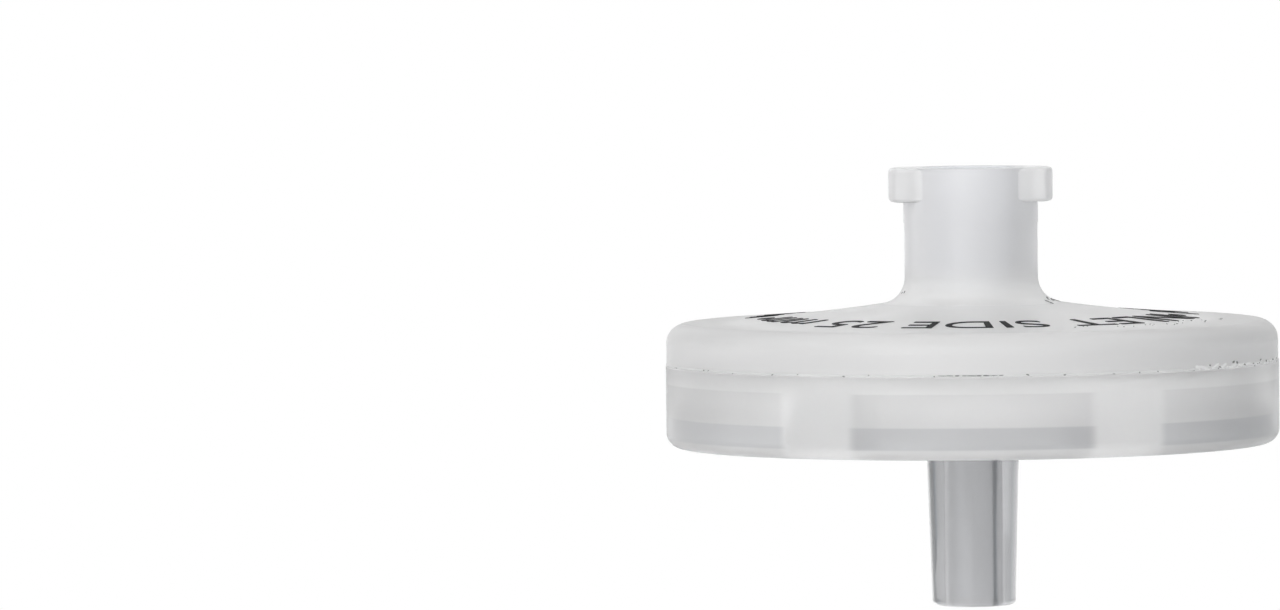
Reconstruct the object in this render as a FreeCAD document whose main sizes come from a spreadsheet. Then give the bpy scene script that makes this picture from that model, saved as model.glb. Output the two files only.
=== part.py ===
import FreeCAD, Part
import collections
import math
import os

import Sketcher

# Disposable disc filter for a syringe. Two clear mouldings are welded round the edge with a membrane
# between them. The inlet half carries a female Luer lock hub, the outlet half a male Luer slip tip.
# Millimetres. +Z points out of the inlet. The origin is the centre of the inlet's mouth.
# Each half is drawn from the weld seam, which lies at height zero in its sketches.

doc = FreeCAD.newDocument("syringe_filter")

# Driving dimensions ------------------------------------------------------------------------------

dimensions = {
    # housing, seen from outside
    "housing_radius": (14.46, "outside of the outlet half"),
    "seam_step": (0.03, "how far the inlet half stands in from the outlet half"),
    "seam_bevel": (0.06, "small bevel either side of the weld seam"),
    "dome_hub_height": (2.95, "dome above the seam, where it would reach the hub"),
    "dome_rim_height": (1.90, "dome above the seam, where it would reach the rim"),
    "dome_flare": (80.0, "radius of the dome's hollow curve"),
    "dome_round": (0.95, "rounding between dome and rim"),
    "skirt_depth": (3.91, "seam to the lower edge of the skirt"),
    "skirt_round": (0.70, "rounding of the skirt's lower outer edge"),
    # inlet hub
    "hub_height": (9.17, "seam to the inlet's mouth"),
    "hub_radius": (3.18, "outside of the hub's collar"),
    "collar_height": (2.60, "length of the collar below the mouth"),
    "collar_step": (0.035, "how far the hub below the collar stands in"),
    "hub_blend": (1.25, "hollow rounding from hub to dome"),
    "lug_reach": (3.88, "axis to the outside of a lock lug"),
    "lug_height": (1.60, "height of a lock lug"),
    "lug_half_angle": (22.0, "half the angle that a lug's outside covers"),
    "lug_merge": (0.10, "how deep a lug's sides run into the hub"),
    "lug_corner": (0.45, "rounding of a lug's upright corners"),
    "lug_round": (0.20, "rounding of a lug's lower edge"),
    "mouth_radius": (2.145, "inlet bore at the mouth"),
    "mouth_round": (0.10, "rounding of the mouth's edge"),
    "luer_taper": (0.06, "loss of diameter for each unit of length, both Luer cones"),
    # baffle in the bottom of the inlet bore
    "baffle_thickness": (0.80, "thickness of the baffle"),
    "window_count": (4, "windows in the baffle"),
    "window_apex": (0.62, "axis to the inner corner of a window"),
    "window_ledge": (0.30, "outer side of a window to the bore's wall"),
    "window_width": (1.50, "outer side of a window"),
    # chamber
    "weld_width": (1.76, "width of the welded ring"),
    "membrane_play": (0.20, "membrane edge to the welded ring"),
    "membrane_thickness": (0.20, "thickness of the membrane"),
    "clamp_width": (0.85, "how far the membrane's edge is held"),
    "hub_side_wall": (1.30, "wall over the chamber, near the hub"),
    "rim_side_wall": (0.85, "wall over the chamber, near the rim"),
    "ring_margin": (0.90, "least room from the last ring to the chamber's wall"),
    "inlet_ring_start": (4.40, "first ring of the inlet half"),
    "inlet_ring_gap": (0.25, "inlet rings to the membrane"),
    "outlet_ring_start": (2.46, "first ring of the outlet half"),
    "outlet_ring_height": (0.35, "height of the rings that carry the membrane"),
    "ring_pitch": (0.97, "distance from ring to ring"),
    "ring_width": (0.42, "width of a ring"),
    "ring_bite": (0.14, "how deep a ring runs into the wall that carries it"),
    "channel_count": (8, "channels across the rings"),
    "channel_width": (1.37, "width of a channel"),
    # underside
    "plate_depth": (1.05, "seam to the underside of the outlet plate"),
    "backing_depth": (2.40, "seam to the underside of the ring that backs the weld"),
    "backing_width": (2.10, "width of that ring"),
    "skirt_wall": (0.95, "wall of the skirt below that ring"),
    "rib_count": (6, "ribs under the plate"),
    "rib_width": (4.10, "width of a rib"),
    "rib_inset": (0.45, "ribs to the lower edge of the skirt"),
    # outlet tip
    "tip_length": (7.59, "lower edge of the skirt to the end of the tip"),
    "tip_radius": (1.965, "outside of the tip at its end"),
    "tip_round": (0.25, "rounding of the tip's end"),
    "outlet_bore_radius": (0.93, "bore of the tip"),
    "bore_round": (0.08, "rounding of the bore's edge"),
    # moulding gate on the dome
    "gate_distance": (12.10, "axis to the gate mark"),
    "gate_radius": (1.30, "dished ring round the gate"),
    "gate_depth": (0.04, "depth of that dish below the dome's rim height"),
    "gate_stub_radius": (0.55, "stub that the gate left"),
    "gate_stub_height": (0.07, "height of that stub"),
}

sizes = doc.addObject("Spreadsheet::Sheet", "Sizes")
for row, (alias, (value, note)) in enumerate(dimensions.items(), start=1):
    sizes.set(f"A{row}", alias)
    sizes.set(f"B{row}", str(value))
    sizes.setAlias(f"B{row}", alias)
    sizes.set(f"C{row}", note)
doc.recompute()

# Places that several sub-parts share, worked out from the sheet
rim_radius = "(Sizes.housing_radius - Sizes.seam_step)"
pocket_radius = "(Sizes.housing_radius - Sizes.weld_width)"
membrane_radius = f"({pocket_radius} - Sizes.membrane_play)"
chamber_radius = f"({membrane_radius} - Sizes.clamp_width)"
chamber_top = "(Sizes.dome_hub_height - Sizes.hub_side_wall)"
chamber_top_at_rim = "(Sizes.dome_rim_height - Sizes.rim_side_wall)"
ceiling_start = "(Sizes.inlet_ring_start - Sizes.ring_width)"
hub_lower_radius = "(Sizes.hub_radius - Sizes.collar_step)"
bore_foot = f"(Sizes.mouth_radius - Sizes.luer_taper / 2 * (Sizes.hub_height - {chamber_top}))"
tip_end = "(-Sizes.skirt_depth - Sizes.tip_length)"
valley = "(-Sizes.outlet_ring_height)"


def size(formula):
    """The present value of a formula on the sheet."""
    value = sizes.evalExpression(formula.replace("Sizes.", ""))
    return float(getattr(value, "Value", value))


# Helpers for sketches ----------------------------------------------------------------------------

Corner = collections.namedtuple("Corner", "across up rounding bow hand", defaults=(None, None, 1))
Corner.__doc__ = """A corner of an outline, all sizes as formulas on the sheet.

rounding is the radius that rounds it off. bow is the radius of the side that leaves it, if that side is
curved, and hand tells where the bow's centre lies, seen along the outline: 1 for left, -1 for right.
"""


def origin_feature(body, role):
    return next(item for item in body.Origin.OriginFeatures if item.Role == role)


def new_sketch(body, plane_role, name, height=None):
    sketch = body.newObject("Sketcher::SketchObject", name)
    sketch.AttachmentSupport = [(origin_feature(body, plane_role), "")]
    sketch.MapMode = "FlatFace"
    if height is not None:
        sketch.setExpression("AttachmentOffset.Base.z", height)
    doc.recompute()
    return sketch


def tie(sketch, constraint, formula):
    """Adds a dimension to the sketch and binds it to the sheet."""
    index = sketch.addConstraint(constraint)
    sketch.setExpression(f"Constraints[{index}]", formula)


def place(sketch, line, end, across, up):
    """Fixes one end of a line at a distance across and up from the sketch's origin."""
    for kind, formula, axis in (("DistanceX", across, -2), ("DistanceY", up, -1)):
        if formula == "0":
            sketch.addConstraint(Sketcher.Constraint("PointOnObject", line, end, axis))
        else:
            tie(sketch, Sketcher.Constraint(kind, line, end, size(formula)), formula)


def closed_outline(sketch, corners):
    """Draws a closed outline through the corners. Side n of the sketch leaves corner n."""
    points = [FreeCAD.Vector(size(corner.across), size(corner.up), 0) for corner in corners]
    starts = list(points)
    finishes = points[1:] + points[:1]
    for number, corner in enumerate(corners):
        if corner.rounding:
            starts[number], finishes[number - 1] = round_ends(points, number, size(corner.rounding))

    sides = []
    for corner, start, finish in zip(corners, starts, finishes):
        if corner.bow:
            sides.append(add_arc(sketch, start, finish, corner.bow, corner.hand))
        else:
            number = sketch.addGeometry(Part.LineSegment(start, finish), False)
            sides.append((number, 1, 2))

    for number, corner in enumerate(corners):
        last, _, last_end = sides[number - 1]
        side, side_start, _ = sides[number]
        if corner.rounding:
            turn = (points[number] - points[number - 1]).cross(finishes[number] - points[number]).z
            hand = 1 if turn > 0 else -1
            arc, arc_start, arc_end = add_arc(
                sketch, finishes[number - 1], starts[number], corner.rounding, hand
            )
            sketch.addConstraint(Sketcher.Constraint("Tangent", last, last_end, arc, arc_start))
            sketch.addConstraint(Sketcher.Constraint("Tangent", arc, arc_end, side, side_start))
            # the point where the two sides would meet keeps the corner's place
            mark = sketch.addGeometry(Part.Point(points[number]), True)
            sketch.addConstraint(Sketcher.Constraint("PointOnObject", mark, 1, last))
            sketch.addConstraint(Sketcher.Constraint("PointOnObject", mark, 1, side))
            place(sketch, mark, 1, corner.across, corner.up)
        else:
            sketch.addConstraint(Sketcher.Constraint("Coincident", last, last_end, side, side_start))
            place(sketch, side, side_start, corner.across, corner.up)


def round_ends(points, number, radius):
    """Where a corner's rounding meets the side that leaves the corner and the side that comes to it."""
    here = points[number]
    to_last = (points[number - 1] - here).normalize()
    to_next = (points[(number + 1) % len(points)] - here).normalize()
    reach = radius / math.tan(to_last.getAngle(to_next) / 2)
    return here + to_next * reach, here + to_last * reach


def add_arc(sketch, start, finish, formula, hand):
    """Adds an arc of the given radius and returns its number and which of its ends are start and finish."""
    radius = size(formula)
    chord = finish - start
    to_left = FreeCAD.Vector(-chord.y, chord.x, 0).normalize()
    rise = math.sqrt(radius**2 - (chord.Length / 2) ** 2)
    centre = (start + finish) / 2 + to_left * (hand * rise)
    circle = Part.Circle(centre, FreeCAD.Vector(0, 0, 1), radius)
    # an arc runs anticlockwise, so one with its centre on the right is drawn from its far end
    first, second = (start, finish) if hand > 0 else (finish, start)
    arc = Part.ArcOfCircle(circle, circle.parameter(first), circle.parameter(second))
    number = sketch.addGeometry(arc, False)
    tie(sketch, Sketcher.Constraint("Radius", number, radius), formula)
    return (number, 1, 2) if hand > 0 else (number, 2, 1)


def block(sketch, start, end, width):
    """Draws a rectangle that lies along the sketch's first axis, centred on it."""
    half = f"{width} / 2"
    outline = [(start, f"-{half}"), (end, f"-{half}"), (end, half), (start, half)]
    closed_outline(sketch, [Corner(across, up) for across, up in outline])


def circles(sketch, radii, across="0", up="0"):
    """Draws circles of the given radii round one centre."""
    normal = FreeCAD.Vector(0, 0, 1)
    centre = FreeCAD.Vector(size(across), size(up), 0)
    for number, radius in enumerate(radii):
        sketch.addGeometry(Part.Circle(centre, normal, size(radius)), False)
        tie(sketch, Sketcher.Constraint("Radius", number, size(radius)), radius)
        place(sketch, number, 3, across, up)


# Helpers for features ----------------------------------------------------------------------------


def new_body(name):
    """A body whose own height zero is the weld seam, hung below the inlet's mouth."""
    body = doc.addObject("PartDesign::Body", name)
    body.Label = name
    body.setExpression("Placement.Base.z", "-Sizes.hub_height")
    return body


def revolve(body, sketch, name):
    feature = body.newObject("PartDesign::Revolution", name)
    feature.Profile = sketch
    feature.ReferenceAxis = (origin_feature(body, "Z_Axis"), [""])
    feature.Angle = 360
    doc.recompute()
    return feature


def extrude(body, sketch, kind, name, length, downwards=False):
    """A pad or pocket of the given length, upwards or downwards from its sketch."""
    feature = body.newObject(f"PartDesign::{kind}", name)
    feature.Profile = sketch
    feature.setExpression("Length", length)
    # a pad grows along the sketch's normal and a pocket cuts against it
    feature.Reversed = downwards if kind == "Pad" else not downwards
    doc.recompute()
    return feature


def repeat(body, feature, name, count):
    pattern = body.newObject("PartDesign::PolarPattern", name)
    pattern.Originals = [feature]
    pattern.Axis = (origin_feature(body, "Z_Axis"), [""])
    pattern.Angle = 360
    pattern.setExpression("Occurrences", count)
    body.Tip = pattern
    doc.recompute()
    return pattern


def is_arc_round_axis(edge, radius, height):
    """Whether the edge is an arc about the axis, of this radius and at this height."""
    curve = edge.Curve
    if curve.TypeId != "Part::GeomCircle":
        return False
    off_axis = math.hypot(curve.Center.x, curve.Center.y)
    return max(off_axis, abs(curve.Radius - radius), abs(curve.Center.z - height)) < 1e-4


def ring_comb(body, start, tips, wall, wall_slope="0"):
    """Concentric rings that stand on a wall, cut by channels, with a thin web inside the wall to join them.

    wall is the height of the wall's surface at the ring nearest the axis and wall_slope its rise outwards.
    """
    room = size(f"{chamber_radius} - Sizes.ring_margin - Sizes.ring_width / 2 - {start}")
    count = 1 + int(room // size("Sizes.ring_pitch"))
    hangs = size(wall) > size(tips)
    bite = "Sizes.ring_bite" if hangs else "-Sizes.ring_bite"

    def wall_at(radius):
        return f"({wall} + {wall_slope} * ({radius} - {start}))"

    def edge(number, side):
        return f"({start} + {number} * Sizes.ring_pitch {side} Sizes.ring_width / 2)"

    inner = edge(0, "-")
    outer = edge(count - 1, "+")
    teeth = []
    for number in range(count):
        near, far = edge(number, "-"), edge(number, "+")
        teeth += [(near, wall_at(near)), (near, tips), (far, tips), (far, wall_at(far))]
    web = [(outer, f"({wall_at(outer)} + {bite})"), (inner, f"({wall_at(inner)} + {bite})")]
    # the first and last tooth already stand at the ends of the web
    outline = teeth[1:-1] + web
    section = new_sketch(body, "XZ_Plane", f"{body.Name}_ring_section")
    closed_outline(section, [Corner(across, up) for across, up in outline])
    revolve(body, section, f"{body.Name}_rings")

    channel = new_sketch(body, "XY_Plane", f"{body.Name}_channel_sketch", tips)
    block(channel, "0", f"({outer} + Sizes.ring_width)", "Sizes.channel_width")
    depth = f"abs({wall} - {tips})"
    cut = extrude(body, channel, "Pocket", f"{body.Name}_channel", depth, downwards=not hangs)
    repeat(body, cut, f"{body.Name}_channels", "Sizes.channel_count")


# Inlet half --------------------------------------------------------------------------------------


def inlet_half():
    body = new_body("inlet_housing")
    ring_tips = "(Sizes.membrane_thickness + Sizes.inlet_ring_gap)"
    ceiling_slope = f"(({chamber_top_at_rim} - {chamber_top}) / ({chamber_radius} - {ceiling_start}))"
    first_ring_ceiling = f"({chamber_top} + {ceiling_slope} * Sizes.ring_width)"
    ring_comb(body, "Sizes.inlet_ring_start", ring_tips, first_ring_ceiling, ceiling_slope)

    # dome, hub, bore and chamber as one section
    collar_foot = "(Sizes.hub_height - Sizes.collar_height)"
    section = [
        Corner(bore_foot, chamber_top),
        Corner(ceiling_start, chamber_top),
        Corner(chamber_radius, chamber_top_at_rim),
        Corner(chamber_radius, "Sizes.membrane_thickness"),
        Corner(pocket_radius, "Sizes.membrane_thickness"),
        Corner(pocket_radius, "0"),
        Corner(f"({rim_radius} - Sizes.seam_bevel)", "0"),
        Corner(rim_radius, "Sizes.seam_bevel"),
        Corner(rim_radius, "Sizes.dome_rim_height", "Sizes.dome_round", bow="Sizes.dome_flare", hand=-1),
        Corner(hub_lower_radius, "Sizes.dome_hub_height", "Sizes.hub_blend"),
        Corner(hub_lower_radius, collar_foot),
        Corner("Sizes.hub_radius", collar_foot),
        Corner("Sizes.hub_radius", "Sizes.hub_height"),
        Corner("Sizes.mouth_radius", "Sizes.hub_height", "Sizes.mouth_round"),
    ]
    sketch = new_sketch(body, "XZ_Plane", "inlet_section")
    closed_outline(sketch, section)
    revolve(body, sketch, "inlet_shell")

    # baffle across the foot of the bore, with its windows
    disc = new_sketch(body, "XY_Plane", "baffle_sketch", chamber_top)
    circles(disc, [f"(({bore_foot} + {hub_lower_radius}) / 2)"])
    extrude(body, disc, "Pad", "baffle", "Sizes.baffle_thickness")
    windows = new_sketch(body, "XY_Plane", "window_sketch", chamber_top)
    half = "Sizes.window_width / 2"
    reach = f"({bore_foot} - Sizes.window_ledge)"
    triangle = [("Sizes.window_apex", "0"), (reach, f"-{half}"), (reach, half)]
    closed_outline(windows, [Corner(across, up) for across, up in triangle])
    window = extrude(body, windows, "Pocket", "window", "Sizes.baffle_thickness")
    repeat(body, window, "windows", "Sizes.window_count")

    lock_lugs(body)

    # gate mark: a shallow dish in the dome with the stub left in its middle
    gate_floor = "(Sizes.dome_rim_height - Sizes.gate_depth)"
    dish = new_sketch(body, "XY_Plane", "gate_sketch", gate_floor)
    circles(dish, ["Sizes.gate_radius"], "0", "-Sizes.gate_distance")
    extrude(body, dish, "Pocket", "gate_dish", "Sizes.dome_round")
    stub = new_sketch(body, "XY_Plane", "gate_stub_sketch", gate_floor)
    circles(stub, ["Sizes.gate_stub_radius"], "0", "-Sizes.gate_distance")
    extrude(body, stub, "Pad", "gate_stub", "Sizes.gate_stub_height")
    return body


def lock_lugs(body):
    """Two lugs level with the mouth, whose sides run into the hub as near tangents."""
    lug_foot = "(Sizes.hub_height - Sizes.lug_height)"
    merge_radius = "(Sizes.hub_radius - Sizes.lug_merge)"
    side_angle = "(Sizes.lug_half_angle * 1deg)"
    merge_angle = f"({side_angle} + acos({merge_radius} / Sizes.lug_reach))"
    side_across = f"(Sizes.lug_reach * cos({side_angle}))"
    side_up = f"(Sizes.lug_reach * sin({side_angle}))"
    merge_across = f"({merge_radius} * cos({merge_angle}))"
    merge_up = f"({merge_radius} * sin({merge_angle}))"
    outline = [
        Corner(side_across, side_up, "Sizes.lug_corner"),
        Corner(merge_across, merge_up, bow=merge_radius, hand=-1),
        Corner(merge_across, f"-{merge_up}"),
        Corner(side_across, f"-{side_up}", "Sizes.lug_corner", bow="Sizes.lug_reach"),
    ]
    sketch = new_sketch(body, "XY_Plane", "lug_sketch", lug_foot)
    closed_outline(sketch, outline)
    lug = extrude(body, sketch, "Pad", "lug", "Sizes.lug_height")
    repeat(body, lug, "lugs", "2")

    # the edges round the outside of both lugs, below and above
    reach = size("Sizes.lug_reach")
    heights = (size(lug_foot), size("Sizes.hub_height"))
    lugs = body.Tip
    outer_edges = [
        f"Edge{number}"
        for number, edge in enumerate(lugs.Shape.Edges, start=1)
        if any(is_arc_round_axis(edge, reach, height) for height in heights)
    ]
    lug_round = body.newObject("PartDesign::Fillet", "lug_round")
    lug_round.Base = (lugs, outer_edges)
    lug_round.setExpression("Radius", "Sizes.lug_round")
    doc.recompute()


# Membrane ----------------------------------------------------------------------------------------


def filter_membrane():
    body = new_body("membrane")
    sketch = new_sketch(body, "XY_Plane", "membrane_sketch")
    circles(sketch, [membrane_radius])
    extrude(body, sketch, "Pad", "membrane_disc", "Sizes.membrane_thickness")
    return body


# Outlet half -------------------------------------------------------------------------------------


def outlet_half():
    body = new_body("outlet_housing")
    ring_comb(body, "Sizes.outlet_ring_start", "0", valley)

    # plate, weld ring, skirt and tip as one section
    plate_foot = "(-Sizes.plate_depth)"
    skirt_foot = "(-Sizes.skirt_depth)"
    skirt_inside = "(Sizes.housing_radius - Sizes.skirt_wall)"
    backing_inside = "(Sizes.housing_radius - Sizes.backing_width)"
    backing_foot = "(-Sizes.backing_depth)"
    tip_root = f"(Sizes.tip_radius + Sizes.luer_taper / 2 * ({plate_foot} - {tip_end}))"
    section = [
        Corner("Sizes.outlet_bore_radius", valley),
        Corner("Sizes.outlet_bore_radius", tip_end, "Sizes.bore_round"),
        Corner("Sizes.tip_radius", tip_end, "Sizes.tip_round"),
        Corner(tip_root, plate_foot),
        Corner(backing_inside, plate_foot),
        Corner(backing_inside, backing_foot),
        Corner(skirt_inside, backing_foot),
        Corner(skirt_inside, skirt_foot),
        Corner("Sizes.housing_radius", skirt_foot, "Sizes.skirt_round"),
        Corner("Sizes.housing_radius", "-Sizes.seam_bevel"),
        Corner("(Sizes.housing_radius - Sizes.seam_bevel)", "0"),
        Corner(chamber_radius, "0"),
        Corner(chamber_radius, valley),
    ]
    sketch = new_sketch(body, "XZ_Plane", "outlet_section")
    closed_outline(sketch, section)
    revolve(body, sketch, "outlet_shell")

    # ribs from the tip out to the skirt
    rib_top = f"(({plate_foot} + {valley}) / 2)"
    rib_foot = f"({skirt_foot} + Sizes.rib_inset)"
    rib_start = "((Sizes.tip_radius + Sizes.outlet_bore_radius) / 2)"
    rib_end = "(Sizes.housing_radius - Sizes.skirt_wall / 2)"
    ribs = new_sketch(body, "XY_Plane", "rib_sketch", rib_top)
    block(ribs, rib_start, rib_end, "Sizes.rib_width")
    rib = extrude(body, ribs, "Pad", "rib", f"({rib_top} - {rib_foot})", downwards=True)
    repeat(body, rib, "ribs", "Sizes.rib_count")
    return body


# Build, check and write --------------------------------------------------------------------------

parts = [inlet_half(), filter_membrane(), outlet_half()]
doc.recompute()

for item in doc.Objects:
    if "Invalid" in item.State or "Error" in item.State:
        raise RuntimeError(f"{item.Label} did not build: {item.State}")
for part in parts:
    if part.Shape.isNull() or not part.Shape.isValid():
        raise RuntimeError(f"{part.Label} has no sound shape")

os.makedirs("parts", exist_ok=True)
for part in parts:
    part.Shape.exportStep(f"parts/{part.Label}.step")
    print(part.Label, len(part.Shape.Solids), "solid", round(part.Shape.Volume, 2), "mm3")
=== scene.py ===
import bpy
import math
from mathutils import Matrix, Vector


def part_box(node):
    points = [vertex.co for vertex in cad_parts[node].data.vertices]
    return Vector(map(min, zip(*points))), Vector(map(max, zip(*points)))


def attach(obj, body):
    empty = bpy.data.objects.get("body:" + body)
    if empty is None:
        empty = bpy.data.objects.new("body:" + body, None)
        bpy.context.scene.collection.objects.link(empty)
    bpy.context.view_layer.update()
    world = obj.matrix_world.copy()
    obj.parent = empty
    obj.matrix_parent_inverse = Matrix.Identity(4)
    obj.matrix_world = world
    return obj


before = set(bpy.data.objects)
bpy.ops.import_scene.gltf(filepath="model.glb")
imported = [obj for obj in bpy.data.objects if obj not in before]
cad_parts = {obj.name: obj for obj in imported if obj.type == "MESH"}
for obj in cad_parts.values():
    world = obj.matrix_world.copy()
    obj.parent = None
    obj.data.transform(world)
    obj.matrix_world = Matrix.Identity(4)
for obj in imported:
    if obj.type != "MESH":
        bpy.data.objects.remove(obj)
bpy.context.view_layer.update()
mm = 0.001
white = (1, 1, 1, 1)

# Heights in the part's frame: its origin is the inlet's mouth, and the weld seam lies below it.
discLow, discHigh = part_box("outlet_housing")
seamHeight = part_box("inlet_housing")[0].z
tipEnd = discLow.z
discRadius = discHigh.x


# Helpers for nodes

def nodeMaker(tree):
    def make(kind, inputs=None, **settings):
        node = tree.nodes.new(kind)
        for name, value in settings.items():
            setattr(node, name, value)
        for key, value in (inputs or {}).items():
            if isinstance(value, bpy.types.NodeSocket):
                tree.links.new(value, node.inputs[key])
            else:
                node.inputs[key].default_value = value
        return node
    return make


def newMaterial(name):
    material = bpy.data.materials.new(name)
    material.use_nodes = True
    material.node_tree.nodes.clear()
    return material, nodeMaker(material.node_tree)


socketKinds = {
    "colour": "NodeSocketColor",
    "value": "NodeSocketFloat",
    "vector": "NodeSocketVector",
    "count": "NodeSocketInt",
    "words": "NodeSocketString",
    "object": "NodeSocketObject",
    "material": "NodeSocketMaterial",
    "geometry": "NodeSocketGeometry",
}


def newGroup(name, kind, inputs, outputs):
    tree = bpy.data.node_groups.new(name, kind)
    for label, socket in inputs.items():
        tree.interface.new_socket(name=label, in_out="INPUT", socket_type=socketKinds[socket])
    for label, socket in outputs.items():
        tree.interface.new_socket(name=label, in_out="OUTPUT", socket_type=socketKinds[socket])
    return tree, nodeMaker(tree), tree.nodes.new("NodeGroupInput").outputs


def mathNode(node, operation, *values):
    return node("ShaderNodeMath", dict(enumerate(values)), operation=operation).outputs[0]


def above(node, value, edge, soft):  # 0 below the edge and 1 above it
    rise = node("ShaderNodeMapRange", {"Value": value, "From Min": edge - soft, "From Max": edge + soft},
                interpolation_type="SMOOTHSTEP")
    return rise.outputs[0]


def within(node, value, low, high, soft):
    return mathNode(node, "SUBTRACT", above(node, value, low, soft), above(node, value, high, soft))


def mixValue(node, mask, low, high):
    return node("ShaderNodeMix", {0: mask, 2: low, 3: high}, data_type="FLOAT").outputs[0]


def mixColour(node, mask, low, high):
    return node("ShaderNodeMix", {0: mask, 6: low, 7: high}, data_type="RGBA").outputs[2]


def chance(node, seed, shift, low, high):  # a random number for each point or face
    inputs = {2: low, 3: high, "Seed": mathNode(node, "ADD", seed, float(shift))}
    return node("FunctionNodeRandomValue", inputs, data_type="FLOAT").outputs[1]


def grow(name, tree, values):  # runs a Geometry Nodes tree and keeps its result as a plain mesh
    piece = bpy.data.objects.new(name, bpy.data.meshes.new(name))
    bpy.context.scene.collection.objects.link(piece)
    modifier = piece.modifiers.new("shape", "NODES")
    modifier.node_group = tree
    for item in tree.interface.items_tree:
        if item.in_out == "INPUT" and item.name in values:
            modifier[item.identifier] = values[item.name]
    seen = piece.evaluated_get(bpy.context.evaluated_depsgraph_get())
    plain = bpy.data.meshes.new_from_object(seen)
    piece.modifiers.remove(modifier)
    piece.data = plain
    plain.name = name
    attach(piece, "root")
    return piece


# Studio

studio = {
    # Brightness of the surroundings from -X to +X: a dark side, then pale walls with one brighter panel.
    "wallLevels": {-1.0: 0.03, -0.92: 0.04, -0.88: 0.06, -0.84: 0.45, -0.76: 0.80, -0.62: 0.94, -0.45: 1.0,
                   0.02: 1.0, 0.12: 1.40, 0.48: 1.40, 0.62: 1.0, 1.0: 0.97},
    "plainLevel": 1.0,  # matt surfaces get this even light, with a share of the walls' light
    "wallShare": 0.12,
    "darkTint": (0.42, 0.76, 1.0, 1),
    "tintFades": 0.4,  # at this brightness half of the tint is left, and none at twice as much
    "darkShift": 0.12,  # above the floor the dark side reaches this much further towards the middle
    "floorDrop": 45 * mm,
    "floorSize": 3000 * mm,
    "floorColour": (0.86, 0.86, 0.87, 1),
    "paintShare": 0.35,  # share of the floor's paint that shows near the part, and carries its shadow
    "paintFades": (40 * mm, 120 * mm),  # the paint gives way to plain white between these distances
    "glowGain": 1.75,  # near the part the floor looks this much brighter through the plastic
    "glowFades": (130 * mm, 260 * mm),
}


def makeWallLight():  # light from a direction, by the direction's share along X
    group, node, given = newGroup("wallLight", "ShaderNodeTree", {"Direction": "vector", "Shift": "value"},
                                   {"Colour": "colour"})
    along = node("ShaderNodeVectorMath", {0: given["Direction"]}, operation="NORMALIZE")
    across = node("ShaderNodeSeparateXYZ", {0: along.outputs[0]}).outputs["X"]
    across = mathNode(node, "SUBTRACT", across, given["Shift"])
    level = node("ShaderNodeFloatCurve", {"Value": across})
    level.mapping.use_clip = False
    level.mapping.clip_min_x = -1
    points = level.mapping.curves[0].points
    steps = list(studio["wallLevels"].items())
    points[0].location = steps[0]
    points[1].location = steps[-1]
    for step in steps[1:-1]:
        points.new(*step)
    for point in points:
        point.handle_type = "VECTOR"
    level.mapping.update()
    bright = above(node, level.outputs[0], studio["tintFades"], studio["tintFades"])
    tint = mixColour(node, bright, studio["darkTint"], white)
    colour = node("ShaderNodeVectorMath", {0: tint, "Scale": level.outputs[0]}, operation="SCALE")
    node("NodeGroupOutput", {"Colour": colour.outputs[0]})
    return group


wallLight = makeWallLight()


def wallColour(node, direction, shift=0.0):
    return node("ShaderNodeGroup", {"Direction": direction, "Shift": shift}, node_tree=wallLight).outputs[0]


def bentRays(node):  # glossy and transmission rays
    rays = node("ShaderNodeLightPath").outputs
    return mathNode(node, "MAXIMUM", rays["Is Glossy Ray"], rays["Is Transmission Ray"])


def makeWorld():
    world = bpy.data.worlds.new("studioWorld")
    bpy.context.scene.world = world
    world.use_nodes = True
    tree = world.node_tree
    tree.nodes.clear()
    node = nodeMaker(tree)
    direction = node("ShaderNodeTexCoord").outputs["Generated"]
    walls = wallColour(node, direction, studio["darkShift"])
    plain = (studio["plainLevel"],) * 3 + (1,)
    even = mixColour(node, studio["wallShare"], plain, walls)
    seen = mixColour(node, bentRays(node), even, walls)
    direct = node("ShaderNodeLightPath").outputs["Is Camera Ray"]
    colour = mixColour(node, direct, seen, white)
    background = node("ShaderNodeBackground", {"Color": colour, "Strength": 1.0})
    node("ShaderNodeOutputWorld", {"Surface": background.outputs[0]})


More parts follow.
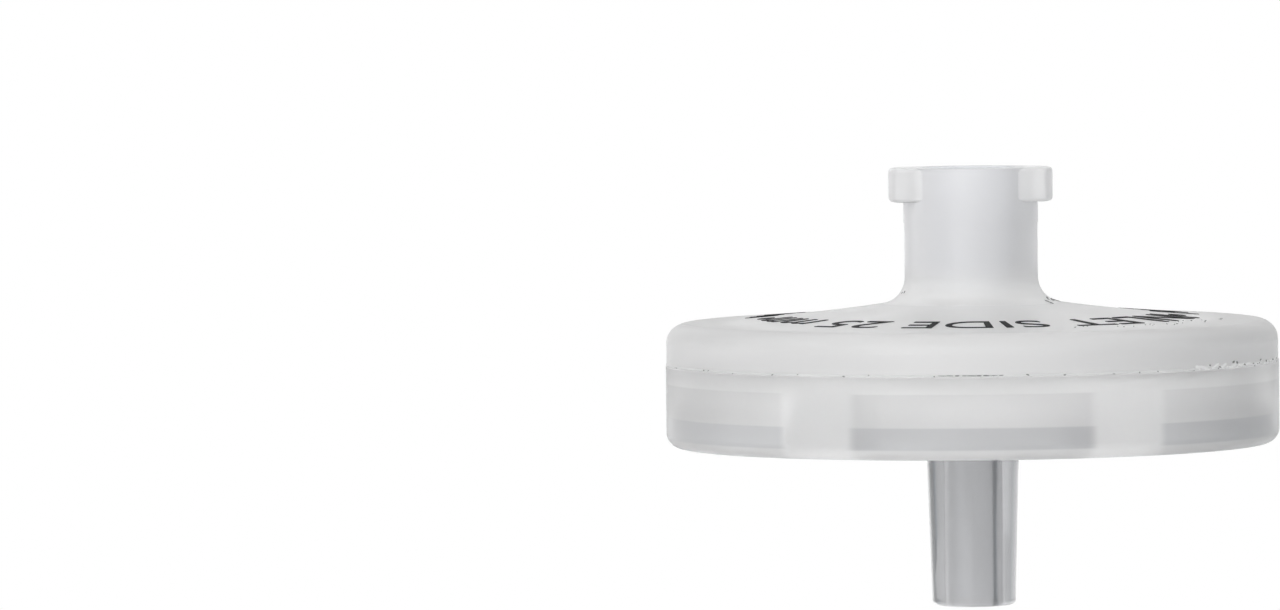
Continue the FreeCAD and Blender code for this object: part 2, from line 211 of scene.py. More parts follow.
def makeFloor():
    material, node = newMaterial("studioFloor")
    place = node("ShaderNodeTexCoord").outputs["Object"]
    flat = node("ShaderNodeVectorMath", {0: place, 1: (1, 1, 0)}, operation="MULTIPLY")
    away = node("ShaderNodeVectorMath", {0: flat.outputs[0]}, operation="LENGTH").outputs["Value"]
    direct = node("ShaderNodeLightPath").outputs["Is Camera Ray"]
    plain = node("ShaderNodeMapRange", {
        "Value": away,
        "From Min": studio["paintFades"][0],
        "From Max": studio["paintFades"][1],
        "To Min": 1 - studio["paintShare"],
        "To Max": 1.0,
    })
    gain = node("ShaderNodeMapRange", {
        "Value": away,
        "From Min": studio["glowFades"][0],
        "From Max": studio["glowFades"][1],
        "To Min": studio["glowGain"],
        "To Max": 1.0,
    })
    share = mathNode(node, "MULTIPLY_ADD", direct, plain.outputs[0], bentRays(node))
    walls = wallColour(node, place)
    lit = node("ShaderNodeVectorMath", {0: walls, "Scale": gain.outputs[0]}, operation="SCALE")
    colour = mixColour(node, direct, lit.outputs[0], white)
    paint = node("ShaderNodeBsdfDiffuse", {"Color": studio["floorColour"]})
    glow = node("ShaderNodeEmission", {"Color": colour, "Strength": 1.0})
    mix = node("ShaderNodeMixShader", {0: share, 1: paint.outputs[0], 2: glow.outputs[0]})
    under = mathNode(node, "MULTIPLY", direct, node("ShaderNodeNewGeometry").outputs["Backfacing"])
    # a camera under the floor looks through it
    clear = node("ShaderNodeBsdfTransparent")
    seen = node("ShaderNodeMixShader", {0: under, 1: mix.outputs[0], 2: clear.outputs[0]})
    node("ShaderNodeOutputMaterial", {"Surface": seen.outputs[0]})
    half = studio["floorSize"] / 2
    height = tipEnd - studio["floorDrop"]
    mesh = bpy.data.meshes.new("studioFloor")
    corners = [(-half, -half, height), (half, -half, height), (half, half, height), (-half, half, height)]
    mesh.from_pydata(corners, [], [(0, 1, 2, 3)])
    mesh.materials.append(material)
    floor = bpy.data.objects.new("studioFloor", mesh)
    bpy.context.scene.collection.objects.link(floor)


lamps = {
    "keyLamp": {"place": (0.10, 0.48, 0.20), "size": 0.50, "power": 1.15},
}


def makeLamps():
    target = Vector((0, 0, seamHeight))
    for name, values in lamps.items():
        data = bpy.data.lights.new(name, "AREA")
        data.size = values["size"]
        data.energy = values["power"]
        lamp = bpy.data.objects.new(name, data)
        lamp.location = values["place"]
        lamp.rotation_euler = (target - lamp.location).to_track_quat("-Z", "Y").to_euler()
        bpy.context.scene.collection.objects.link(lamp)


view = {
    "lens": 298.1,
    "sensor": 36,
    "nearest": 10 * mm,
    "farthest": 20000 * mm,
    "distance": 500 * mm,
    "aboveSeam": 23.6 * mm,
    "turnAside": 1.793,  # degrees, as are the next two
    "lookDown": 2.380,
    "roll": -0.60,
}


def makeCamera():
    data = bpy.data.cameras.new("viewCamera")
    data.lens = view["lens"]
    data.sensor_width = view["sensor"]
    data.clip_start = view["nearest"]
    data.clip_end = view["farthest"]
    camera = bpy.data.objects.new("viewCamera", data)
    camera.location = (0, view["distance"], seamHeight + view["aboveSeam"])
    aside = math.radians(view["turnAside"])
    look = Vector((math.sin(aside), -math.cos(aside), -math.tan(math.radians(view["lookDown"]))))
    turn = look.to_track_quat("-Z", "Y").to_matrix() @ Matrix.Rotation(math.radians(view["roll"]), 3, "Z")
    camera.rotation_euler = turn.to_euler()
    bpy.context.scene.collection.objects.link(camera)
    bpy.context.scene.camera = camera


makeWorld()
makeFloor()
makeLamps()
makeCamera()
bpy.context.scene.view_settings.view_transform = "Standard"
print("studio ready")


# Plastic

finishNoise = {
    "cloudScale": 260,  # slow changes of tone
    "cloudDetail": 3,
    "cloudRoughness": 0.55,
    "cloudRange": (0.3, 0.7),
    "patchScale": 620,  # changes of roughness
    "grainScale": 2400,
    "detail": 2,
    "grainHeight": 0.02 * mm,
}


def makeMouldedFinish():
    inputs = {"Place": "vector", "Colour": "colour", "Cloud": "value", "Roughness": "value",
              "Roughness Spread": "value", "Grain": "value"}
    outputs = {"Colour": "colour", "Roughness": "value", "Normal": "vector"}
    group, node, given = newGroup("mouldedFinish", "ShaderNodeTree", inputs, outputs)
    cloud = node("ShaderNodeTexNoise", {
        "Vector": given["Place"],
        "Scale": finishNoise["cloudScale"],
        "Detail": finishNoise["cloudDetail"],
        "Roughness": finishNoise["cloudRoughness"],
    })
    tint = node("ShaderNodeMapRange", {
        "Value": cloud.outputs["Fac"],
        "From Min": finishNoise["cloudRange"][0],
        "From Max": finishNoise["cloudRange"][1],
        "To Min": -1.0,
        "To Max": 1.0,
    })
    shade = mathNode(node, "MULTIPLY_ADD", tint.outputs[0], given["Cloud"], 1.0)
    colour = node("ShaderNodeVectorMath", {0: given["Colour"], "Scale": shade}, operation="SCALE")
    patch = node("ShaderNodeTexNoise", {
        "Vector": given["Place"], "Scale": finishNoise["patchScale"], "Detail": finishNoise["detail"]})
    spread = mathNode(node, "SUBTRACT", patch.outputs["Fac"], 0.5)
    rough = mathNode(node, "MULTIPLY_ADD", spread, given["Roughness Spread"], given["Roughness"])
    fine = node("ShaderNodeTexNoise", {
        "Vector": given["Place"], "Scale": finishNoise["grainScale"], "Detail": finishNoise["detail"]})
    bump = node("ShaderNodeBump", {
        "Strength": given["Grain"], "Distance": finishNoise["grainHeight"], "Height": fine.outputs["Fac"]})
    node("NodeGroupOutput", {"Colour": colour.outputs[0], "Roughness": rough, "Normal": bump.outputs[0]})
    return group


mouldedFinish = makeMouldedFinish()


def makePlastic(name, look, paint):  # paint works out the colour and roughness from the place on the piece
    material, node = newMaterial(name)
    place = node("ShaderNodeTexCoord").outputs["Object"]
    colour, rough = paint(node, place)
    skin = node("ShaderNodeGroup", {
        "Place": place,
        "Colour": colour,
        "Roughness": rough,
        "Cloud": look["cloud"],
        "Roughness Spread": look["roughnessSpread"],
        "Grain": look["grain"],
    }, node_tree=mouldedFinish)
    surface = node("ShaderNodeBsdfPrincipled", {
        "Base Color": skin.outputs["Colour"],
        "Roughness": skin.outputs["Roughness"],
        "Normal": skin.outputs["Normal"],
        "IOR": look["ior"],
        "Transmission Weight": look["transmission"],
    })
    node("ShaderNodeOutputMaterial", {"Surface": surface.outputs[0]})
    return material


def roundPlace(node, place):  # radius from the axis and height over the seam
    flat = node("ShaderNodeVectorMath", {0: place, 1: (1, 1, 0)}, operation="MULTIPLY")
    radius = node("ShaderNodeVectorMath", {0: flat.outputs[0]}, operation="LENGTH").outputs["Value"]
    level = node("ShaderNodeSeparateXYZ", {0: place}).outputs["Z"]
    return radius, mathNode(node, "SUBTRACT", level, seamHeight)


def turnAbout(node, place):  # angle about the axis, from +X towards +Y
    parts = node("ShaderNodeSeparateXYZ", {0: place}).outputs
    return mathNode(node, "ARCTAN2", parts["Y"], parts["X"])


inletLook = {
    "domeColour": (0.93, 0.93, 0.93, 1),
    "footLightColour": (0.99, 0.99, 0.99, 1),  # painted light: the blend from hub to dome is painted lighter
    # painted shade: the hub is painted darker than the dome
    "hubShadeColour": (0.89, 0.89, 0.90, 1),
    # painted shade: the inside of the bore is painted darker
    "boreColour": (0.74, 0.755, 0.785, 1),
    "lugColour": (0.92, 0.92, 0.92, 1),
    "chamberColour": (0.99, 0.99, 0.99, 1),
    "roughness": 0.42,
    "footRoughness": 0.55,
    "hubRoughness": 0.30,  # the denoiser leaves marks on a smoother hub
    "lugRoughness": 0.36,
    "chamberRoughness": 0.05,
    # Heights over the seam and radii where one finish gives way to the next, with how soft the change is.
    "chamberHigh": (1.74 * mm, 0.03 * mm),
    "chamberRadius": (12.3 * mm, 0.1 * mm),
    "boreFloor": (3.1 * mm, 0.1 * mm),
    "boreRadius": (2.4 * mm, 0.1 * mm),
    "footHigh": (4.3 * mm, 0.6 * mm),
    "footRadius": (5.2 * mm, 0.9 * mm),
    "lugLow": (6.0 * mm, 0.5 * mm),
    "lugRadius": (3.20 * mm, 0.015 * mm),  # just outside the hub's own surface
    "transmission": 0.55,
    "ior": 1.49,
    "cloud": 0.015,
    "roughnessSpread": 0.05,
    "grain": 0.02,
}


def paintInlet(node, place):
    look = inletLook
    radius, height = roundPlace(node, place)
    dome = above(node, radius, *look["footRadius"])
    hub = above(node, height, *look["footHigh"])
    highUp = above(node, height, *look["lugLow"])
    lug = mathNode(node, "MULTIPLY", highUp, above(node, radius, *look["lugRadius"]))
    narrow = mathNode(node, "SUBTRACT", 1.0, above(node, radius, *look["boreRadius"]))
    shadedBore = mathNode(node, "MULTIPLY", narrow, above(node, height, *look["boreFloor"]))
    overChamber = above(node, height, *look["chamberHigh"])
    outside = mathNode(node, "MAXIMUM", overChamber, above(node, radius, *look["chamberRadius"]))
    # painted light on the hub's foot, painted shade on the hub above it
    colour = mixColour(node, hub, look["footLightColour"], look["hubShadeColour"])
    colour = mixColour(node, dome, colour, look["domeColour"])
    colour = mixColour(node, lug, colour, look["lugColour"])
    # painted shade inside the bore
    colour = mixColour(node, shadedBore, colour, look["boreColour"])
    colour = mixColour(node, outside, look["chamberColour"], colour)
    rough = mixValue(node, hub, look["footRoughness"], look["hubRoughness"])
    rough = mixValue(node, dome, rough, look["roughness"])
    rough = mixValue(node, lug, rough, look["lugRoughness"])
    rough = mixValue(node, outside, look["chamberRoughness"], rough)
    return colour, rough


outletLook = {
    "colour": (0.975, 0.975, 0.975, 1),
    "bayShadeColour": (0.83, 0.83, 0.83, 1),  # painted shade: the wall between two ribs is painted darker
    "hollowShadeColour": (0.64, 0.645, 0.655, 1),  # painted shade: darker still where the hollow lies behind the wall
    # painted shade: the tip is painted dark grey
    "tipShadeColour": (0.525, 0.53, 0.54, 1),
    "boreColour": (0.95, 0.95, 0.96, 1),
    "roughness": 0.65,
    "hollowRoughness": 0.40,
    "tipRoughness": 0.02,
    "ribCount": 6,
    # Places of the changes, with how soft each is. Heights are over the seam, so those below it are negative.
    "bayHigh": (-0.85 * mm, 0.05 * mm),
    "hollowBand": (-3.42 * mm, -2.40 * mm, 0.05 * mm),
    "ribHalfWidth": (1.85 * mm, 0.35 * mm),
    "skirtInside": (discRadius - 1.6 * mm, 0.2 * mm),
    "tipRadius": (2.7 * mm, 0.3 * mm),
    "boreRadius": (1.3 * mm, 0.1 * mm),
    "transmission": 0.72,
    "ior": 1.49,
    "cloud": 0.02,
    "roughnessSpread": 0.03,
    "grain": 0.0,
}


def paintOutlet(node, place):
    look = outletLook
    radius, height = roundPlace(node, place)
    halfBay = math.pi / look["ribCount"]
    ribTurn = mathNode(node, "WRAP", turnAbout(node, place), halfBay, -halfBay)
    fromRib = mathNode(node, "ABSOLUTE", mathNode(node, "MULTIPLY", ribTurn, radius))
    between = above(node, fromRib, *look["ribHalfWidth"])
    outside = above(node, radius, *look["skirtInside"])
    wall = mathNode(node, "MULTIPLY", between, outside)
    hollow = mathNode(node, "MULTIPLY", wall, within(node, height, *look["hollowBand"]))
    deep = mathNode(node, "SUBTRACT", 1.0, above(node, height, *look["bayHigh"]))
    shadedBay = mathNode(node, "MULTIPLY", wall, deep)
    body = above(node, radius, *look["tipRadius"])
    tipSkin = above(node, radius, *look["boreRadius"])
    # painted shade on the tip, its bore keeps a light colour
    shadedTip = mixColour(node, tipSkin, look["boreColour"], look["tipShadeColour"])
    # painted shade on the walls between the ribs
    colour = mixColour(node, shadedBay, look["colour"], look["bayShadeColour"])
    # painted shade where the hollow lies behind the wall
    colour = mixColour(node, hollow, colour, look["hollowShadeColour"])
    colour = mixColour(node, body, shadedTip, colour)
    rough = mixValue(node, hollow, look["roughness"], look["hollowRoughness"])
    rough = mixValue(node, body, look["tipRoughness"], rough)
    return colour, rough


inkLook = {
    "colour": (0.010, 0.010, 0.011, 1),
    "roughness": 0.60,
    "transmission": 0.0,
    "ior": 1.15,
    "cloud": 0.25,
    "roughnessSpread": 0.2,
    "grain": 0.2,
}


flashLook = {
    "colour": (0.88, 0.88, 0.88, 1),
    "roughness": 0.55,
    "transmission": 0.35,
    "ior": 1.49,
    "cloud": 0.06,
    "roughnessSpread": 0.1,
    "grain": 0.1,
}

beadLook = dict(flashLook, colour=(0.74, 0.74, 0.74, 1))

# dark specks: dirt in the flecks on the hub and dome, painted shade in the weld's specks and sliver
dirtAndShadeSpeckLook = {
    "colour": (0.20, 0.20, 0.20, 1),
    "roughness": 0.7,
    "transmission": 0.2,
    "ior": 1.4,
    "cloud": 0.3,
    "roughnessSpread": 0.1,
    "grain": 0.1,
}


def paintPlain(look):
    return lambda node, place: (look["colour"], look["roughness"])


membraneLook = {
    "colour": (0.93, 0.93, 0.92, 1),
    "roughness": 0.8,
    "transmission": 0.0,
    "ior": 1.45,
    "cloud": 0.02,
    "roughnessSpread": 0.1,
    "grain": 0.4,
}


nodeFinishes = {
    "inlet_housing": makePlastic("inletPlastic", inletLook, paintInlet),
    "outlet_housing": makePlastic("outletPlastic", outletLook, paintOutlet),
    "membrane": makePlastic("membraneSheet", membraneLook, paintPlain(membraneLook)),
}
for name, material in nodeFinishes.items():
    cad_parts[name].material_slots[0].material = material
ink = makePlastic("blackInk", inkLook, paintPlain(inkLook))
flash = makePlastic("weldFlash", flashLook, paintPlain(flashLook))
beadPlastic = makePlastic("weldBead", beadLook, paintPlain(beadLook))
dirtAndShadeSpeck = makePlastic("weldSpeckDirtAndShade", dirtAndShadeSpeckLook, paintPlain(dirtAndShadeSpeckLook))
print("plastics, membrane and ink ready")


# Print on the dome: two arcs of plain words with a round dot at each gap

printRing = {
    "nearRadius": 9.84 * mm,
    "farRadius": 9.60 * mm,
    "dotRing": 9.72 * mm,
    "letterSize": 3.46 * mm,
    "capHeight": 2.50 * mm,
    "thinner": 0.020 * mm,  # how far each stroke's edge moves in
    "thickness": 0.02 * mm,
    "lift": 0.006 * mm,
    "reach": 50 * mm,  # how far down the shapes look for the dome
    "joinWithin": 0.0005 * mm,
    "turned": -6,  # degrees that the whole ring is turned about the axis
    "nearWords": "INLET SIDE 25 mm",
    "nearSpacing": 1.0,
    "nearTurn": 95.5,
    "farWords": "MEMBRANE 0.2 µm",
    "farSpacing": 0.98,
    "farTurn": 275.5,
    "dotRadius": 0.42 * mm,
    "dotSides": 32,
    "dotTurns": (11, 180),
}


filmInputs = {"Thickness": "value", "Lift": "value", "Dome": "object", "Ink": "material"}


def makeDomeFilm():  # lays flat shapes on the dome and gives them a thin closed film's thickness
    inputs = dict({"Flat": "geometry"}, **filmInputs)
    tree, node, given = newGroup("filmOnDome", "GeometryNodeTree", inputs, {"Geometry": "geometry"})
    dome = node("GeometryNodeObjectInfo", {"Object": given["Dome"]})
    hit = node("GeometryNodeRaycast", {
        "Target Geometry": dome.outputs["Geometry"],
        "Source Position": node("GeometryNodeInputPosition").outputs[0],
        "Ray Direction": (0, 0, -1),
        "Ray Length": printRing["reach"],
    })
    lift = node("ShaderNodeCombineXYZ", {"Z": given["Lift"]})
    seat = node("ShaderNodeVectorMath", {0: hit.outputs["Hit Position"], 1: lift.outputs[0]}, operation="ADD")
    seated = node("GeometryNodeSetPosition", {"Geometry": given["Flat"], "Position": seat.outputs[0]})
    raised = node("GeometryNodeExtrudeMesh", {
        "Mesh": seated.outputs[0], "Offset Scale": given["Thickness"], "Individual": False})
    under = node("GeometryNodeFlipFaces", {"Mesh": seated.outputs[0]})
    both = node("GeometryNodeJoinGeometry")
    tree.links.new(raised.outputs["Mesh"], both.inputs[0])
    tree.links.new(under.outputs[0], both.inputs[0])
    closed = node("GeometryNodeMergeByDistance", {
        "Geometry": both.outputs[0], "Distance": printRing["joinWithin"]})
    whole = node("GeometryNodeRealizeInstances", {"Geometry": closed.outputs[0]})
    inked = node("GeometryNodeSetMaterial", {"Geometry": whole.outputs[0], "Material": given["Ink"]})
    node("NodeGroupOutput", {0: inked.outputs[0]})
    return tree


def layFilm(node, film, flat, given):
    inputs = {label: given[label] for label in filmInputs}
    laid = node("GeometryNodeGroup", dict(inputs, Flat=flat), node_tree=film)
    node("NodeGroupOutput", {0: laid.outputs[0]})


def makeLetterTree(film):
    inputs = {"Words": "words", "Letter Size": "value", "Spacing": "value", "Cap Height": "value",
              "Thinner": "value", "Arc Radius": "value", "Middle": "value", "Facing": "value"}
    inputs.update(filmInputs)
    tree, node, given = newGroup("lettersOnDome", "GeometryNodeTree", inputs, {"Geometry": "geometry"})
    words = node("GeometryNodeStringToCurves", {
        "String": given["Words"], "Size": given["Letter Size"], "Character Spacing": given["Spacing"],
    }, align_x="CENTER", align_y="BOTTOM_BASELINE")
    outlines = node("GeometryNodeRealizeInstances", {"Geometry": words.outputs["Curve Instances"]})
    plain = node("GeometryNodeResampleCurve", {"Curve": outlines.outputs[0]}, mode="EVALUATED")
    inward = node("ShaderNodeVectorMath", {
        0: node("GeometryNodeInputTangent").outputs[0], 1: (0, 0, -1)}, operation="CROSS_PRODUCT")
    step = node("ShaderNodeVectorMath", {0: inward.outputs[0], "Scale": given["Thinner"]}, operation="SCALE")
    trimmed = node("GeometryNodeSetPosition", {"Geometry": plain.outputs[0], "Offset": step.outputs[0]})
    flat = node("GeometryNodeFillCurve", {"Curve": trimmed.outputs[0]})
    parts = node("ShaderNodeSeparateXYZ", {0: node("GeometryNodeInputPosition").outputs[0]}).outputs
    fromMiddle = mathNode(node, "SUBTRACT", parts["Y"], mathNode(node, "DIVIDE", given["Cap Height"], 2.0))
    radius = mathNode(node, "MULTIPLY_ADD", fromMiddle, given["Facing"], given["Arc Radius"])
    along = mathNode(node, "DIVIDE", parts["X"], given["Arc Radius"])
    turn = mathNode(node, "SUBTRACT", given["Middle"], mathNode(node, "MULTIPLY", along, given["Facing"]))
    across = mathNode(node, "MULTIPLY", radius, mathNode(node, "COSINE", turn))
    away = mathNode(node, "MULTIPLY", radius, mathNode(node, "SINE", turn))
    over = node("ShaderNodeCombineXYZ", {"X": across, "Y": away, "Z": 0.0})
    bent = node("GeometryNodeSetPosition", {"Geometry": flat.outputs[0], "Position": over.outputs[0]})
    layFilm(node, film, bent.outputs[0], given)
    return tree


def makeDotTree(film):
    inputs = dict({"Dot Radius": "value", "Dot Sides": "count", "Arc Radius": "value", "Middle": "value"},
                  **filmInputs)
    tree, node, given = newGroup("dotOnDome", "GeometryNodeTree", inputs, {"Geometry": "geometry"})
    disc = node("GeometryNodeMeshCircle", {
        "Vertices": given["Dot Sides"], "Radius": given["Dot Radius"]}, fill_type="NGON")
    across = mathNode(node, "MULTIPLY", given["Arc Radius"], mathNode(node, "COSINE", given["Middle"]))
    away = mathNode(node, "MULTIPLY", given["Arc Radius"], mathNode(node, "SINE", given["Middle"]))
    middle = node("ShaderNodeCombineXYZ", {"X": across, "Y": away, "Z": 0.0})
    placed = node("GeometryNodeSetPosition", {"Geometry": disc.outputs[0], "Offset": middle.outputs[0]})
    layFilm(node, film, placed.outputs[0], given)
    return tree


def makePrint(film):
    letters = makeLetterTree(film)
    dot = makeDotTree(film)
    shared = {
        "Thickness": printRing["thickness"],
        "Lift": printRing["lift"],
        "Dome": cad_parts["inlet_housing"],
        "Ink": ink,
    }
    pieces = []
    for side, facing in (("near", 1.0), ("far", -1.0)):
        pieces.append(grow(side + "Words", letters, dict(shared, **{
            "Words": printRing[side + "Words"],
            "Arc Radius": printRing[side + "Radius"],
            "Letter Size": printRing["letterSize"],
            "Cap Height": printRing["capHeight"],
            "Thinner": printRing["thinner"],
            "Spacing": printRing[side + "Spacing"],
            "Middle": math.radians(printRing[side + "Turn"] + printRing["turned"]),
            "Facing": facing,
        })))
    for index, turn in enumerate(printRing["dotTurns"]):
        pieces.append(grow("dot" + str(index + 1), dot, dict(shared, **{
            "Dot Radius": printRing["dotRadius"],
            "Dot Sides": printRing["dotSides"],
            "Arc Radius": printRing["dotRing"],
            "Middle": math.radians(turn + printRing["turned"]),
        })))
    for piece in pieces:
        print(piece.name, "has", len(piece.data.polygons), "faces")


domeFilm = makeDomeFilm()
makePrint(domeFilm)
print("print ready")


# Dark flecks that lie round the foot of the hub and near the rim

# Turns are in degrees from +X towards +Y, other sizes in millimetres.
flecks = {
    "hubFleck": {"count": 11, "turns": (150, 182), "radii": (3.4, 4.2),
                 "length": 0.15, "width": 0.05, "seed": 4},
    "footFleck": {"count": 2, "turns": (8, 24), "radii": (3.30, 3.50),
                  "length": 0.05, "width": 0.03, "seed": 7},
    "domeFleck": {"count": 24, "turns": (112, 172), "radii": (11.0, 12.1),
                  "length": 0.07, "width": 0.02, "seed": 2},
}

fleckShape = {
    "sides": 9,
    "lengthSpread": (0.4, 1.2),  # shortest and longest, as shares of the length above
    "widthSpread": (0.6, 1.3),
}


def makeFleckTree(film):
    inputs = {"Count": "count", "First Turn": "value", "Last Turn": "value", "Inner Radius": "value",
              "Outer Radius": "value", "Start Height": "value", "Length": "value", "Width": "value",
              "Seed": "count"}
    inputs.update(filmInputs)
    tree, node, given = newGroup("flecksOnDome", "GeometryNodeTree", inputs, {"Geometry": "geometry"})
    seed = given["Seed"]
    turn = chance(node, seed, 0, given["First Turn"], given["Last Turn"])
    radius = chance(node, seed, 1, given["Inner Radius"], given["Outer Radius"])
    place = node("ShaderNodeCombineXYZ", {
        "X": mathNode(node, "MULTIPLY", radius, mathNode(node, "COSINE", turn)),
        "Y": mathNode(node, "MULTIPLY", radius, mathNode(node, "SINE", turn)),
        "Z": given["Start Height"],
    })
    points = node("GeometryNodePoints", {"Count": given["Count"], "Position": place.outputs[0]})
    scale = node("ShaderNodeCombineXYZ", {
        "X": mathNode(node, "MULTIPLY", chance(node, seed, 2, *fleckShape["lengthSpread"]), given["Length"]),
        "Y": mathNode(node, "MULTIPLY", chance(node, seed, 3, *fleckShape["widthSpread"]), given["Width"]),
        "Z": 1.0,
    })
    facing = node("ShaderNodeCombineXYZ", {"X": 0.0, "Y": 0.0, "Z": chance(node, seed, 4, 0.0, math.tau)})
    shape = node("GeometryNodeMeshCircle", {"Vertices": fleckShape["sides"], "Radius": 1.0}, fill_type="NGON")
    loose = node("GeometryNodeInstanceOnPoints", {
        "Points": points.outputs[0], "Instance": shape.outputs[0],
        "Rotation": facing.outputs[0], "Scale": scale.outputs[0]})
    flat = node("GeometryNodeRealizeInstances", {"Geometry": loose.outputs[0]})
    layFilm(node, film, flat.outputs[0], given)
    return tree


def makeFlecks(film):
    tree = makeFleckTree(film)
    for name, values in flecks.items():
        piece = grow(name, tree, {
            "Count": values["count"],
            "First Turn": math.radians(values["turns"][0]),
            "Last Turn": math.radians(values["turns"][1]),
            "Inner Radius": values["radii"][0] * mm,
            "Outer Radius": values["radii"][1] * mm,
            "Start Height": seamHeight + inletLook["footHigh"][0],
            "Length": values["length"] * mm,
            "Width": values["width"] * mm,
            "Seed": values["seed"],
            "Thickness": printRing["thickness"],
            "Lift": printRing["lift"],
            "Dome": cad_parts["inlet_housing"],
            "Ink": dirtAndShadeSpeck,
        })
        print(piece.name, "has", len(piece.data.polygons), "faces")


makeFlecks(domeFilm)
print("flecks ready")


# Weld seam: a low bead round the disc with flash the weld left, and dark specks and a sliver that are painted
# shade of pits and of the seam's step

weld = {
    "beadRing": 0.056 * mm,  # the bead's middle lies this far inside the disc's edge
    "beadDepth": 0.044 * mm,
    "beadHeight": 0.085 * mm,
    "beadTurns": 720,
    "beadSides": 10,
    "beadWaves": 1400,
    "unevenness": 0.012 * mm,
    "bitRing": 0.038 * mm,  # and the bits' middles this far
    "bitDepth": 0.036 * mm,
    "bitRounding": 2,
    "bitSpread": (0.5, 1.3),  # smallest and largest, as shares of a bit's size
    "bitWaves": 9000,
}

# Bits along the seam. Turns are in degrees from +X towards +Y, tilts in radians, other sizes in millimetres.
weldBits = {
    # painted shade: dark specks along the seam stand for the shade in small pits
    "seamSpecks": {"count": 46, "turns": (-180, 180), "length": 0.09, "height": 0.035, "rise": 0.0,
                   "riseSpread": 0.06, "tilt": 0.4, "scatter": 1.0, "seed": 3, "finish": "dirtAndShadeSpeck"},
    "patchSpecks": {"count": 12, "turns": (139, 172), "length": 0.11, "height": 0.05, "rise": 0.14,
                    "riseSpread": 0.10, "tilt": 0.4, "scatter": 1.0, "seed": 8, "finish": "dirtAndShadeSpeck"},
    # painted shadow: a thin dark sliver stands for the shadow of the seam's step
    "frontSliver": {"count": 9, "turns": (84.5, 96.5), "length": 0.27, "height": 0.030, "rise": 0.02,
                    "riseSpread": 0.004, "tilt": 0.03, "scatter": 0.1, "seed": 5, "finish": "dirtAndShadeSpeck"},
    "patchFlash": {"count": 70, "turns": (136, 171), "length": 0.16, "height": 0.07, "rise": 0.05,
                   "riseSpread": 0.10, "tilt": 0.4, "scatter": 1.0, "seed": 11, "finish": "flash"},
    "seamFlash": {"count": 110, "turns": (-180, 180), "length": 0.16, "height": 0.035, "rise": -0.05,
                  "riseSpread": 0.04, "tilt": 0.3, "scatter": 1.0, "seed": 14, "finish": "bead"},
}


def swayUp(node, waves, detail, size):  # an uneven shift up and down
    position = node("GeometryNodeInputPosition").outputs[0]
    noise = node("ShaderNodeTexNoise", {"Vector": position, "Scale": waves, "Detail": detail})
    sway = mathNode(node, "SUBTRACT", noise.outputs["Fac"], 0.5)
    return node("ShaderNodeCombineXYZ", {"Z": mathNode(node, "MULTIPLY", sway, size)}).outputs[0]


def makeBeadTree():
    inputs = {"Ring Radius": "value", "Depth": "value", "Height": "value", "Level": "value",
              "Turns": "count", "Sides": "count", "Unevenness": "value", "Plastic": "material"}
    tree, node, given = newGroup("weldBead", "GeometryNodeTree", inputs, {"Geometry": "geometry"})
    ring = node("GeometryNodeCurvePrimitiveCircle", {
        "Resolution": given["Turns"], "Radius": given["Ring Radius"]})
    level = node("ShaderNodeCombineXYZ", {"Z": given["Level"]})
    lifted = node("GeometryNodeSetPosition", {"Geometry": ring.outputs[0], "Offset": level.outputs[0]})
    outline = node("GeometryNodeCurvePrimitiveCircle", {"Resolution": given["Sides"], "Radius": 1.0})
    squeeze = node("ShaderNodeCombineXYZ", {"X": given["Depth"], "Y": given["Height"], "Z": 1.0})
    profile = node("GeometryNodeTransform", {"Geometry": outline.outputs[0], "Scale": squeeze.outputs[0]})
    bead = node("GeometryNodeCurveToMesh", {"Curve": lifted.outputs[0], "Profile Curve": profile.outputs[0]})
    sway = swayUp(node, weld["beadWaves"], 2, given["Unevenness"])
    uneven = node("GeometryNodeSetPosition", {"Geometry": bead.outputs[0], "Offset": sway})
    smooth = node("GeometryNodeSetShadeSmooth", {"Geometry": uneven.outputs[0]})
    whole = node("GeometryNodeRealizeInstances", {"Geometry": smooth.outputs[0]})
    done = node("GeometryNodeSetMaterial", {"Geometry": whole.outputs[0], "Material": given["Plastic"]})
    node("NodeGroupOutput", {0: done.outputs[0]})
    return tree


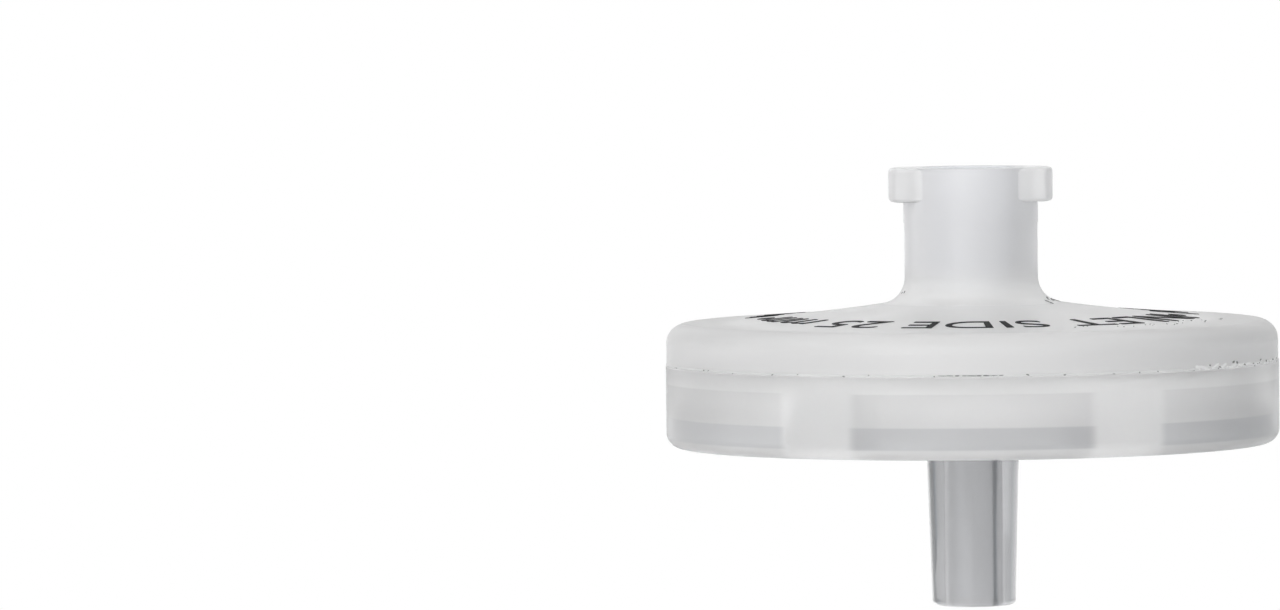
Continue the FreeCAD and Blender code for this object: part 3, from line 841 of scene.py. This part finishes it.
def makeBitTree():
    inputs = {"Count": "count", "First Turn": "value", "Last Turn": "value", "Scatter": "value",
              "Ring Radius": "value", "Level": "value", "Level Spread": "value", "Depth": "value",
              "Length": "value", "Height": "value", "Tilt": "value", "Seed": "count", "Plastic": "material"}
    tree, node, given = newGroup("bitsOnSeam", "GeometryNodeTree", inputs, {"Geometry": "geometry"})
    seed = given["Seed"]
    index = node("GeometryNodeInputIndex").outputs[0]
    step = mathNode(node, "MULTIPLY_ADD", chance(node, seed, 0, 0.0, 1.0), given["Scatter"], index)
    share = mathNode(node, "DIVIDE", step, given["Count"])
    span = mathNode(node, "SUBTRACT", given["Last Turn"], given["First Turn"])
    turn = mathNode(node, "MULTIPLY_ADD", share, span, given["First Turn"])
    spread = chance(node, seed, 1, -1.0, 1.0)
    level = mathNode(node, "MULTIPLY_ADD", spread, given["Level Spread"], given["Level"])
    place = node("ShaderNodeCombineXYZ", {
        "X": mathNode(node, "MULTIPLY", given["Ring Radius"], mathNode(node, "COSINE", turn)),
        "Y": mathNode(node, "MULTIPLY", given["Ring Radius"], mathNode(node, "SINE", turn)),
        "Z": level,
    })
    points = node("GeometryNodePoints", {"Count": given["Count"], "Position": place.outputs[0]})
    stored = node("GeometryNodeStoreNamedAttribute", {
        "Geometry": points.outputs[0], "Name": "turn", "Value": turn}, data_type="FLOAT", domain="POINT")
    kept = node("GeometryNodeInputNamedAttribute", {"Name": "turn"}, data_type="FLOAT").outputs[0]
    scale = node("ShaderNodeCombineXYZ", {
        "X": given["Depth"],
        "Y": mathNode(node, "MULTIPLY", chance(node, seed, 2, *weld["bitSpread"]), given["Length"]),
        "Z": mathNode(node, "MULTIPLY", chance(node, seed, 3, *weld["bitSpread"]), given["Height"]),
    })
    tilt = mathNode(node, "MULTIPLY", chance(node, seed, 4, -1.0, 1.0), given["Tilt"])
    facing = node("ShaderNodeCombineXYZ", {"X": tilt, "Y": 0.0, "Z": kept})
    bit = node("GeometryNodeMeshIcoSphere", {"Radius": 1.0, "Subdivisions": weld["bitRounding"]})
    bits = node("GeometryNodeInstanceOnPoints", {
        "Points": stored.outputs[0], "Instance": bit.outputs[0],
        "Rotation": facing.outputs[0], "Scale": scale.outputs[0]})
    loose = node("GeometryNodeRealizeInstances", {"Geometry": bits.outputs[0]})
    sway = swayUp(node, weld["bitWaves"], 1, given["Height"])
    ragged = node("GeometryNodeSetPosition", {"Geometry": loose.outputs[0], "Offset": sway})
    done = node("GeometryNodeSetMaterial", {"Geometry": ragged.outputs[0], "Material": given["Plastic"]})
    node("NodeGroupOutput", {0: done.outputs[0]})
    return tree


def makeWeld():
    bead = grow("weldBead", makeBeadTree(), {
        "Ring Radius": discRadius - weld["beadRing"],
        "Depth": weld["beadDepth"],
        "Height": weld["beadHeight"],
        "Level": seamHeight,
        "Turns": weld["beadTurns"],
        "Sides": weld["beadSides"],
        "Unevenness": weld["unevenness"],
        "Plastic": beadPlastic,
    })
    tree = makeBitTree()
    finishes = {"dirtAndShadeSpeck": dirtAndShadeSpeck, "flash": flash, "bead": beadPlastic}
    for name, bits in weldBits.items():
        piece = grow(name, tree, {
            "Count": bits["count"],
            "First Turn": math.radians(bits["turns"][0]),
            "Last Turn": math.radians(bits["turns"][1]),
            "Scatter": bits["scatter"],
            "Ring Radius": discRadius - weld["bitRing"],
            "Level": seamHeight + bits["rise"] * mm,
            "Level Spread": bits["riseSpread"] * mm,
            "Depth": weld["bitDepth"],
            "Length": bits["length"] * mm,
            "Height": bits["height"] * mm,
            "Tilt": bits["tilt"],
            "Seed": bits["seed"],
            "Plastic": finishes[bits["finish"]],
        })
        print(name, "has", len(piece.data.polygons), "faces")


makeWeld()
print("weld ready")
